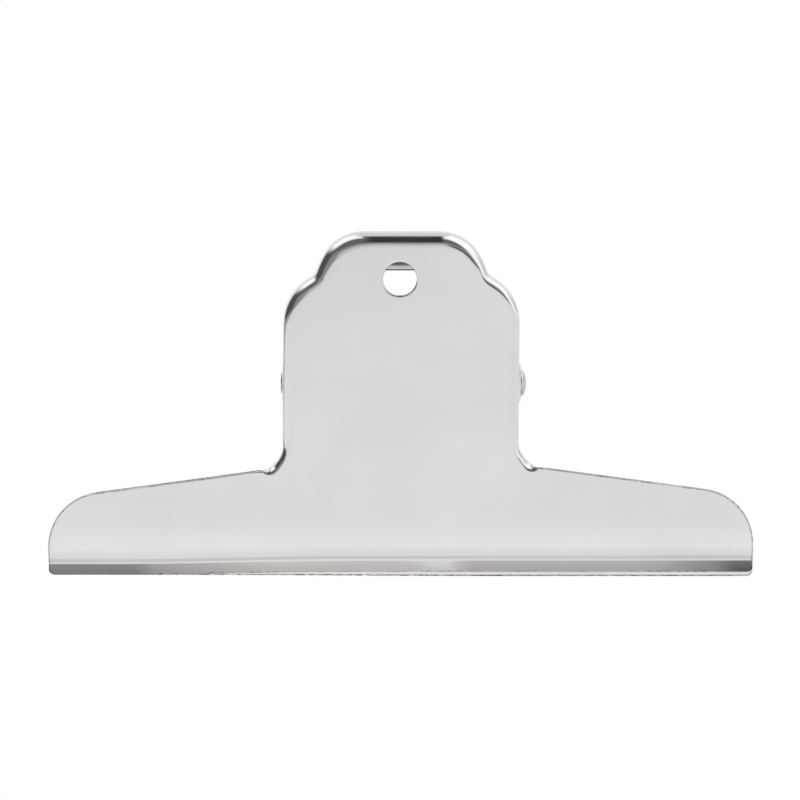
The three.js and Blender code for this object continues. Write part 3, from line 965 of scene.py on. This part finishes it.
@dataclass
class TorsionSpring:
    """The double torsion spring: free leg, coil, crossbar, coil, free leg."""

    form: Pressing = Pressing()
    wire_radius: float = 0.95
    coil_radius: float = 3.5
    coil_pitch: float = 2.45
    whole_turns: int = 4
    side_clearance: float = 2.1
    wire_clearance: float = 0.3
    crossbar_below_crown: float = 6.3
    bend_radius: float = 2.2
    leg_below_shoulder: float = 0.5
    turn_steps: int = 40
    bend_steps: int = 12
    leg_steps: int = 8
    bar_steps: int = 4
    sides: int = 20
    cut_end: tuple[Pair, ...] = ((0.0, 0.0), (0.75, 0.0), (0.9, 0.06), (0.98, 0.16), (1.0, 0.3))

    def on_coil(self, x: float, angle: float) -> Array:
        """A point of the coil, at an angle from straight up over the front."""
        out, up = self.coil_radius * math.sin(angle), self.coil_radius * math.cos(angle)
        return np.array([x, -out, self.form.pin_height + up])

    def leaving(self, point: Array) -> float:
        """The angle at which a straight leg to a point leaves the coil."""
        rise, out = point[2] - self.form.pin_height, -point[1]
        return math.atan2(out, rise) + math.acos(self.coil_radius / math.hypot(rise, out))

    def half_path(self) -> Array:
        """The wire from its crossbar's middle to the free leg's end at +X.

        Returns:
            Rows of x, y and z.
        """
        form, bend = self.form, self.bend_radius
        depth = form.sheet + self.wire_clearance + self.wire_radius
        bar_height = form.crown_height - self.crossbar_below_crown - depth * math.sin(form.lean)
        bar = form.placed(0.0, form.up_web(bar_height), depth)
        back = PressedPlate("", Body.BACK, form, form.sheet + form.ear_clearance)
        leg_w = back.half_outline()[Part.HANDLE][-1, 1] - self.leg_below_shoulder
        leg = form.placed(0.0, leg_w, depth)
        start = self.leaving(bar)
        turns = (2 * math.pi - self.leaving(leg) - start) / (2 * math.pi) + self.whole_turns
        leg_x = (
            form.handle_width / 2 - 2 * form.sheet - form.ear_clearance
            - self.side_clearance - self.wire_radius
        )
        bar_x = leg_x - turns * self.coil_pitch
        corner, run_up = np.array([bar_x, bar[1], bar[2]]), self.on_coil(bar_x, start)
        down, aside = unit(run_up - corner), np.array([bend, 0, 0])
        centre = corner + down * bend - aside
        bar_xs = np.linspace(0, centre[0], self.bar_steps + 1)[:-1]
        path = [np.array([x, corner[1], corner[2]]) for x in bar_xs]
        path += [
            centre - down * bend * math.cos(angle) + aside * math.sin(angle)
            for angle in np.linspace(0, QUARTER, self.bend_steps + 1)
        ]

        def run_to(end: Array) -> None:
            """Adds a straight stretch of the path, up to and with its end."""
            begin, shares = path[-1], np.linspace(0, 1, self.leg_steps + 1)[1:]
            path.extend(begin + (end - begin) * share for share in shares)

        run_to(run_up)
        count = round(turns * self.turn_steps)
        for i in range(1, count + 1):
            turn = turns * i / count
            path.append(self.on_coil(bar_x + turn * self.coil_pitch, start + turn * 2 * math.pi))
        run_to(np.array([leg_x, -leg[1], leg[2]]))
        return np.array(path)

    def build(self) -> bpy.types.Object:
        """Sweeps the wire along its path, with slightly rounded cut ends.

        Returns:
            The spring's object.
        """
        half = self.half_path()
        path = np.concatenate([half[:0:-1] * np.array([-1, 1, 1]), half])
        along = unit(np.gradient(path, axis=0))
        angle = np.arange(self.sides)[:, None] * 2 * math.pi / self.sides
        across, spokes = np.array([0.0, 1.0, 0.0]), []
        for way in along:
            across = unit(across - way * float(across @ way))
            spokes.append(np.cos(angle) * across + np.sin(angle) * np.cross(way, across))

        def ring(number: int, share: float = 1.0, ahead: float = 0.0) -> Array:
            """One ring of the wire, narrowed by a share and moved ahead."""
            middle = path[number] + along[number] * ahead
            return middle + spokes[number] * self.wire_radius * share

        work = Patchwork()
        work.tube([
            *(ring(0, share, inset) for share, inset in self.cut_end),
            *(ring(number) for number in range(1, len(path) - 1)),
            *(ring(-1, share, -inset) for share, inset in self.cut_end[::-1]),
        ])
        return work.built("spring")


class NodeBench:
    """Lays out the nodes of one material or world."""

    def __init__(self, tree: bpy.types.NodeTree) -> None:
        """Starts with an empty tree."""
        self.tree = tree
        tree.nodes.clear()

    def join(self, socket: Socket, value: object) -> None:
        """Joins an input to another socket, or sets its value.

        Args:
            socket: The input.
            value: A socket, a number, a vector or a colour of three or four values.
        """
        if isinstance(value, Socket):
            self.tree.links.new(value, socket)
        else:
            socket.default_value = (*value, 1.0)[:4] if socket.type == "RGBA" else value

    def add(self, kind: str, inputs: dict[str | int, object] | None = None,
            **settings: object) -> bpy.types.Node:
        """Adds a node, sets its options, and sets or joins its inputs.

        Args:
            kind: The node's type without its ShaderNode prefix.
            inputs: Values or sockets by input name or number.
            settings: The node's own options.

        Returns:
            The new node.
        """
        node = self.tree.nodes.new("ShaderNode" + kind)
        for name, value in settings.items():
            setattr(node, name, value)
        for key, value in (inputs or {}).items():
            self.join(node.inputs[key], value)
        return node

    def maths(self, operation: str, *values: Socket | float) -> Socket:
        """One arithmetic step, clamped nowhere."""
        return self.add("Math", dict(enumerate(values)), operation=operation).outputs[0]

    def times(self, product: Socket, *factors: Socket | float) -> Socket:
        """A socket's value multiplied by others."""
        for factor in factors:
            product = self.maths("MULTIPLY", product, factor)
        return product

    def remap(self, value: Socket, low: float, high: float, out_low: float | Socket,
              out_high: float, smooth: bool = True) -> Socket:
        """Maps a value from one range to another, clamped.

        Args:
            value: What is mapped.
            low: Where the first range starts.
            high: Where it ends.
            out_low: What its start becomes.
            out_high: What its end becomes.
            smooth: Whether both ends are eased.

        Returns:
            The mapped value.
        """
        return self.add(
            "MapRange", dict(enumerate((value, low, high, out_low, out_high))),
            interpolation_type="SMOOTHSTEP" if smooth else "LINEAR",
        ).outputs[0]

    def hump(self, value: Socket, rise: Pair, fall: Pair) -> Socket:
        """A smooth hump: 0 before the rise, 1 between, 0 after the fall."""
        return self.times(self.remap(value, *rise, 0, 1), self.remap(value, *fall, 1, 0))

    def mixed(self, share: Socket | float, one: Socket | Triple, other: Socket | Triple) -> Socket:
        """Mixes two colours.

        Args:
            share: How much of the other colour shows.
            one: The first colour.
            other: The other.

        Returns:
            The mixture.
        """
        node = self.add("Mix", data_type="RGBA")
        sockets = {socket.identifier: socket for socket in (*node.inputs, *node.outputs)}
        for key, value in (("Factor_Float", share), ("A_Color", one), ("B_Color", other)):
            self.join(sockets[key], value)
        return sockets["Result_Color"]

    def noise(self, place: Socket, scale: float, detail: float = 2.0, stretch: Triple = (1, 1, 1),
              roughness: float = 0.5, shift: float = 0.0) -> Socket:
        """Noise over a place.

        Args:
            place: Where it is taken.
            scale: Waves per metre.
            detail: Finer layers.
            stretch: What each axis is multiplied by first.
            roughness: The weight of the finer layers.
            shift: How far it is moved along all axes.

        Returns:
            Values round one half.
        """
        mapped = self.add("Mapping", {"Vector": place, "Scale": stretch, "Location": (shift,) * 3})
        return self.add("TexNoise", {
            "Vector": mapped.outputs[0], "Scale": scale, "Detail": detail, "Roughness": roughness,
        }).outputs["Fac"]


@dataclass(frozen=True)
class MetalFinish:
    """A bare metal with cloudy tone, fine drawn grain, hairline marks and soft waviness."""

    name: str
    tone: Triple
    warm: Triple
    cool: Triple
    roughness: float
    cloud_scale: float = 42.0
    cloud_depth: float = 0.05
    cloud_range: Pair = (0.32, 0.68)
    tint_range: Pair = (0.38, 0.62)
    rough_range: Pair = (0.3, 0.7)
    rough_by_cloud: Pair = (0.03, -0.02)
    rough_by_grain: Pair = (-0.02, 0.03)
    grain_stretch: Triple = (0.03, 1.0, 1.0)
    grain_scale: float = 5200.0
    grain_height: float = 0.000002
    hair_scale: float = 900.0
    hair_stretch: Triple = (0.06, 1.0, 0.9)
    hair_range: Pair = (0.66, 0.72)
    hair_depth: float = 0.0000015
    hair_roughness: float = 0.06
    wave_scale: float = 150.0
    wave_height: float = 0.000004

    def material(self) -> bpy.types.Material:
        """Builds the procedural material.

        Returns:
            The material.
        """
        material = bpy.data.materials.new(self.name)
        material.use_nodes = True
        bench = NodeBench(material.node_tree)
        place = bench.add("TexCoord").outputs["Object"]
        clouds = bench.noise(place, self.cloud_scale, 3.0, roughness=0.55)
        tint = bench.noise(place, self.cloud_scale * 0.8, shift=3.1)
        grain = bench.noise(place, self.grain_scale, 2.0, self.grain_stretch)
        marks = bench.noise(place, self.hair_scale, 3.0, self.hair_stretch, 0.6, 7.7)
        waves = bench.noise(place, self.wave_scale, 1.0, shift=1.7)
        hairs = bench.remap(marks, *self.hair_range, 0, 1)
        hue = bench.mixed(bench.remap(tint, *self.tint_range, 0, 1), self.cool, self.warm)
        brightest = 1 + self.cloud_depth * 0.4
        spread = bench.remap(clouds, *self.cloud_range, 1 - self.cloud_depth, brightest)
        base = bench.mixed(0.5, self.tone, hue)
        shade = bench.add("VectorMath", {0: base, 3: spread}, operation="SCALE").outputs[0]
        grainy = (self.roughness + change for change in self.rough_by_grain)
        rough = bench.maths("ADD", bench.remap(clouds, *self.rough_range, *self.rough_by_cloud),
                            bench.times(hairs, self.hair_roughness))
        rough = bench.maths("ADD", rough, bench.remap(grain, *self.rough_range, *grainy, False))
        under = {}
        for height, distance, invert in ((waves, self.wave_height, False),
                                         (grain, self.grain_height, False),
                                         (hairs, self.hair_depth, True)):
            bump = bench.add("Bump", {"Strength": 1.0, "Distance": distance, "Height": height,
                                      **under}, invert=invert)
            under = {"Normal": bump.outputs[0]}
        shader = bench.add("BsdfPrincipled", {
            "Base Color": shade, "Metallic": 1.0, "Roughness": rough, **under,
        })
        bench.add("OutputMaterial", {"Surface": shader.outputs[0]})
        return material


@dataclass(frozen=True)
class Patch:
    """A soft-edged darker or brighter patch of the surroundings, by two of its measures."""

    change: float
    first: str
    first_rise: Pair
    first_fall: Pair
    second: str
    second_rise: Pair
    second_fall: Pair

    def mask(self, bench: NodeBench, angles: dict[str, Socket]) -> Socket:
        """How far each direction lies within the patch, from 0 to 1."""
        first = bench.hump(angles[self.first], self.first_rise, self.first_fall)
        return bench.times(first, bench.hump(angles[self.second], self.second_rise, self.second_fall))

    def share(self, bench: NodeBench, angles: dict[str, Socket]) -> Socket:
        """What the patch multiplies the brightness by: 1 plus its change within."""
        return bench.maths("MULTIPLY_ADD", self.mask(bench, angles), self.change, 1.0)


@dataclass
class Studio:
    """The pale floor, the soft surroundings and the camera."""

    camera_place: Triple = (-0.00014, -1.8, 0.0363)
    focal_length: float = 392.9
    floor_half: float = 3.0
    floor_drop: float = 0.00002
    floor_paint: Triple = (0.92, 0.92, 0.92)
    floor_white: float = 0.99
    floor_glow: float = 0.94
    # Painted shade in the floor's glow that the plates mirror: a painted falloff of light further in
    # front and far towards -X, a painted step of shade 18 to 34 mm in front, and a painted contact
    # shadow within 10 mm of the clip's foot.
    floor_painted_shade: tuple[tuple[str, Pair, Pair], ...] = (
        ("Y", (-0.20, -0.02), (0.94, 1.0)), ("Y", (-0.90, -0.20), (0.8, 1.0)),
        ("Y", (-0.034, -0.018), (0.925, 1.0)), ("Y", (-0.010, -0.001), (1.0, 0.9)),
        ("X", (-0.70, -0.30), (0.4, 1.0)),
    )
    # A painted bright streak in the floor's glow, along a slanted band, which the plates mirror as a
    # lighter crescent at a wing's tip.
    streak_slant: float = 0.3
    streak: tuple[Pair, Pair] = ((-0.072, -0.036), (-0.01, 0.04))
    streak_depth: float = 0.035
    # Faint streaks along X painted into the floor's glow, which the plates mirror as painted streaks.
    sheen_scale: float = 300.0
    sheen_stretch: Triple = (0.04, 1.0, 1.0)
    sheen_range: Pair = (0.35, 0.65)
    sheen: Pair = (0.985, 1.0)
    dome: Pair = (1.10, 1.15)
    dome_heights: Pair = (-5, 40)
    front_slant: float = -0.25
    warm_light: Triple = (1.10, 0.98, 0.95)
    warm: Patch = Patch(1.0, "height", (-2, 0), (7, 11), "bearing", (-1.9, -1.4), (0.1, 0.6))
    dims: tuple[Patch, ...] = (
        Patch(-0.88, "height", (-22, 26), (100, 120), "front", (0.42, 0.68), (9, 10)),
        Patch(-0.26, "height", (-30, -10), (100, 120), "front", (-9, -8), (-0.65, -0.2)),
        Patch(-0.97, "over", (2, 24), (68, 104), "x", (-0.17, -0.06), (0.06, 0.18)),
        Patch(-0.34, "over", (60, 90), (140, 162), "x", (-0.30, -0.15), (0.15, 0.30)),
        Patch(-0.92, "height", (-8, 2), (28, 44), "bearing", (-134, -120), (-58, -26)),
        Patch(-0.75, "height", (-14, 0), (14, 28), "bearing", (-62, -50), (-30, -12)),
        Patch(-0.90, "height", (-13, -4), (6, 24), "bearing", (-2, 10), (30, 56)),
        Patch(-0.42, "height", (-2, 12), (22, 36), "bearing", (70, 92), (125, 150)),
    )
    glows: tuple[Patch, ...] = (
        Patch(0.14, "height", (28, 42), (70, 85), "bearing", (30, 60), (130, 150)),
        Patch(0.08, "height", (34, 48), (70, 85), "bearing", (-150, -130), (-90, -70)),
    )

    def build(self) -> None:
        """Sets the camera, floor and world."""
        self.set_camera()
        self.set_floor()
        self.set_world()
        bpy.context.scene.view_settings.view_transform = "Standard"

    def set_camera(self) -> None:
        """A long lens in front of the clip, level with its middle."""
        data = bpy.data.cameras.new("camera")
        data.sensor_width = 36.0
        data.lens = self.focal_length
        data.clip_start, data.clip_end = 0.01, 20.0
        camera = bpy.data.objects.new("camera", data)
        camera.location = self.camera_place
        camera.rotation_euler = (QUARTER, 0, 0)
        bpy.context.scene.collection.objects.link(camera)
        bpy.context.scene.camera = camera

    def set_floor(self) -> None:
        """A white floor with a faint shadow, whose glow in reflections carries painted light: bands of
        painted shade, a painted contact shadow by the clip's foot, one painted bright streak and faint
        painted streaks.
        """
        half = self.floor_half
        mesh = bpy.data.meshes.new("floor")
        corners = [(-half, -half, 0), (half, -half, 0), (half, half, 0), (-half, half, 0)]
        mesh.from_pydata(corners, [], [(0, 1, 2, 3)])
        floor = bpy.data.objects.new("floor", mesh)
        floor.location.z = -self.floor_drop
        bpy.context.scene.collection.objects.link(floor)
        material = bpy.data.materials.new("floor_paint")
        material.use_nodes = True
        bench = NodeBench(material.node_tree)
        path = bench.add("LightPath").outputs
        place = bench.add("TexCoord").outputs["Object"]
        axes = bench.add("SeparateXYZ", {0: place}).outputs
        # Painted shade of the floor's glow: painted falloff of light and a painted contact shadow by
        # the clip's foot.
        dims = [bench.remap(axes[axis], *reach, *shares) for axis, reach, shares in self.floor_painted_shade]
        # Painted bright streak: the floor's glow is a little greyer everywhere outside a slanted band.
        aslant = bench.maths("MULTIPLY_ADD", axes["Y"], self.streak_slant, axes["X"])
        streak = bench.maths("MULTIPLY_ADD", bench.hump(aslant, *self.streak), self.streak_depth,
                             1 - self.streak_depth)
        # Painted streaks in the floor's glow, seen only in reflections.
        sheen = bench.noise(place, self.sheen_scale, 2.0, self.sheen_stretch)
        sheen = bench.remap(sheen, *self.sheen_range, *self.sheen)
        # The floor's glow in reflections, with all its painted shade and painted streaks.
        level = bench.times(*dims, streak, sheen)
        gloss = bench.maths("MAXIMUM", path["Is Glossy Ray"], path["Is Transmission Ray"])
        paint = bench.add("BsdfDiffuse", {"Color": self.floor_paint})
        white = bench.add("Emission", {"Color": (1, 1, 1), "Strength": 1.0})
        glow = bench.add("Emission", {"Color": (1, 1, 1), "Strength": level})

        def mixture(share: Socket | float, one: bpy.types.Node,
                    other: bpy.types.Node) -> bpy.types.Node:
            """A mix of two shaders."""
            return bench.add("MixShader", {0: share, 1: one.outputs[0], 2: other.outputs[0]})

        mirrored = mixture(gloss, paint, mixture(self.floor_glow, paint, glow))
        shown = mixture(self.floor_white, paint, white)
        both = mixture(path["Is Camera Ray"], mirrored, shown)
        bench.add("OutputMaterial", {"Surface": both.outputs[0]})
        mesh.materials.append(material)

    def set_world(self) -> None:
        """A bright dome with soft dark patches, two glows and a warm spot low in front."""
        world = bpy.data.worlds.new("surroundings")
        bpy.context.scene.world = world
        world.use_nodes = True
        bench = NodeBench(world.node_tree)
        way = bench.add("TexCoord").outputs["Generated"]
        way = bench.add("VectorMath", {0: way}, operation="NORMALIZE").outputs[0]
        x, y, z = bench.add("SeparateXYZ", {0: way}).outputs
        ahead = bench.maths("MULTIPLY", y, -1.0)
        angles = {
            "bearing": bench.maths("DEGREES", bench.maths("ARCTAN2", x, ahead)),
            "over": bench.maths("DEGREES", bench.maths("ARCTAN2", z, ahead)),
            "height": bench.maths("DEGREES", bench.maths("ARCSINE", z)),
            "front": bench.maths("MULTIPLY_ADD", x, self.front_slant, ahead), "x": x,
        }
        darkest = 1.0
        for dim in self.dims:
            darkest = bench.maths("MINIMUM", darkest, dim.share(bench, angles))
        level = bench.remap(angles["height"], *self.dome_heights, *self.dome)
        level = bench.times(level, *(glow.share(bench, angles) for glow in self.glows), darkest)
        path = bench.add("LightPath")
        shown = bench.remap(path.outputs["Is Camera Ray"], 0, 1, level, 1.0, False)
        hue = bench.mixed(self.warm.mask(bench, angles), (1.0, 1.0, 1.0), self.warm_light)
        light = bench.add("Background", {"Color": hue, "Strength": shown})
        bench.add("OutputWorld", {"Surface": light.outputs[0]})


@dataclass
class Clip:
    """The whole clip: its four pieces, their finishes and what they ride on."""

    form: Pressing = Pressing()
    front_settling: Settling = Settling(
        lift=(-0.3, 0.45), lip_short=(0.63, 0.46), crown_shift=0.2, lip_curl=0.004,
        lip_turns=(
            (2.9, -22.0, -56.0), (2.3, -50.0, -55.0), (-0.8, 2.0, 6.0), (2.5, 10.3, 14.3),
            (3.1, 50.0, 66.0), (2.8, 64.0, 69.0),
        ),
    )
    back_settling: Settling = Settling(
        lift=(0.0, -0.18), lift_at_lip=(-20.0, 50.0), lift_at_wing=(-20.0, 50.0),
        lip_short=(0.0, 0.44),
    )
    sheet_steel: MetalFinish = MetalFinish(
        "rolled_sheet", (0.816, 0.803, 0.807), (0.821, 0.802, 0.797), (0.807, 0.801, 0.817), 0.09,
        cloud_depth=0.025,
    )
    pin_steel: MetalFinish = MetalFinish(
        "plated_rivet", (0.66, 0.66, 0.655), (0.67, 0.655, 0.63), (0.64, 0.65, 0.66), 0.17,
        cloud_scale=260.0, grain_stretch=(0.3, 1.0, 1.0), grain_height=0.000003,
    )
    wire_steel: MetalFinish = MetalFinish(
        "drawn_wire", (0.63, 0.64, 0.64), (0.64, 0.63, 0.61), (0.60, 0.63, 0.65), 0.26,
        cloud_scale=180.0, grain_stretch=(0.12, 0.5, 0.5), grain_height=0.000003,
    )

    def build(self) -> None:
        """Builds, dresses and places every piece."""
        steel, rivet, wire = (
            finish.material() for finish in (self.sheet_steel, self.pin_steel, self.wire_steel)
        )
        front = PressedPlate("plate_front", Body.FRONT, self.form, seats=True, hole_side=-0.15,
                             hole_radius=3.45, settling=self.front_settling).build()
        self.dress(front, steel, Slot.PLATE, "front_plate")
        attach(front, Body.FRONT.value)
        inset = self.form.sheet + self.form.ear_clearance
        back = PressedPlate("plate_back", Body.BACK, self.form, inset, hole_side=0.15,
                            hole_radius=3.6, settling=self.back_settling).build()
        self.dress(back, steel, Slot.PLATE, "back_plate")
        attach(back, Body.BACK.value)
        pin = RivetPin(self.form).build()
        self.dress(pin, rivet, Slot.RIVET, "rivet_pin")
        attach(pin, Body.FRONT.value)
        spring = TorsionSpring(self.form).build()
        self.dress(spring, wire, Slot.WIRE, "torsion_spring")
        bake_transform(spring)

    @staticmethod
    def dress(piece: bpy.types.Object, material: bpy.types.Material, slot: Slot, node: str) -> None:
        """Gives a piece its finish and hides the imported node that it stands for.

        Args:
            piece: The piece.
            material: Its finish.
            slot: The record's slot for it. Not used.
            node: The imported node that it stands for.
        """
        piece.data.materials.append(material)
        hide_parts(node)
        LOG.info("%s stands for %s", piece.name, node)


def main() -> None:
    """Builds the clip and the studio."""
    logging.basicConfig(level=logging.INFO, format="%(name)s: %(message)s")
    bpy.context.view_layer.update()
    Clip().build()
    Studio().build()


if __name__ == "__main__":
    main()
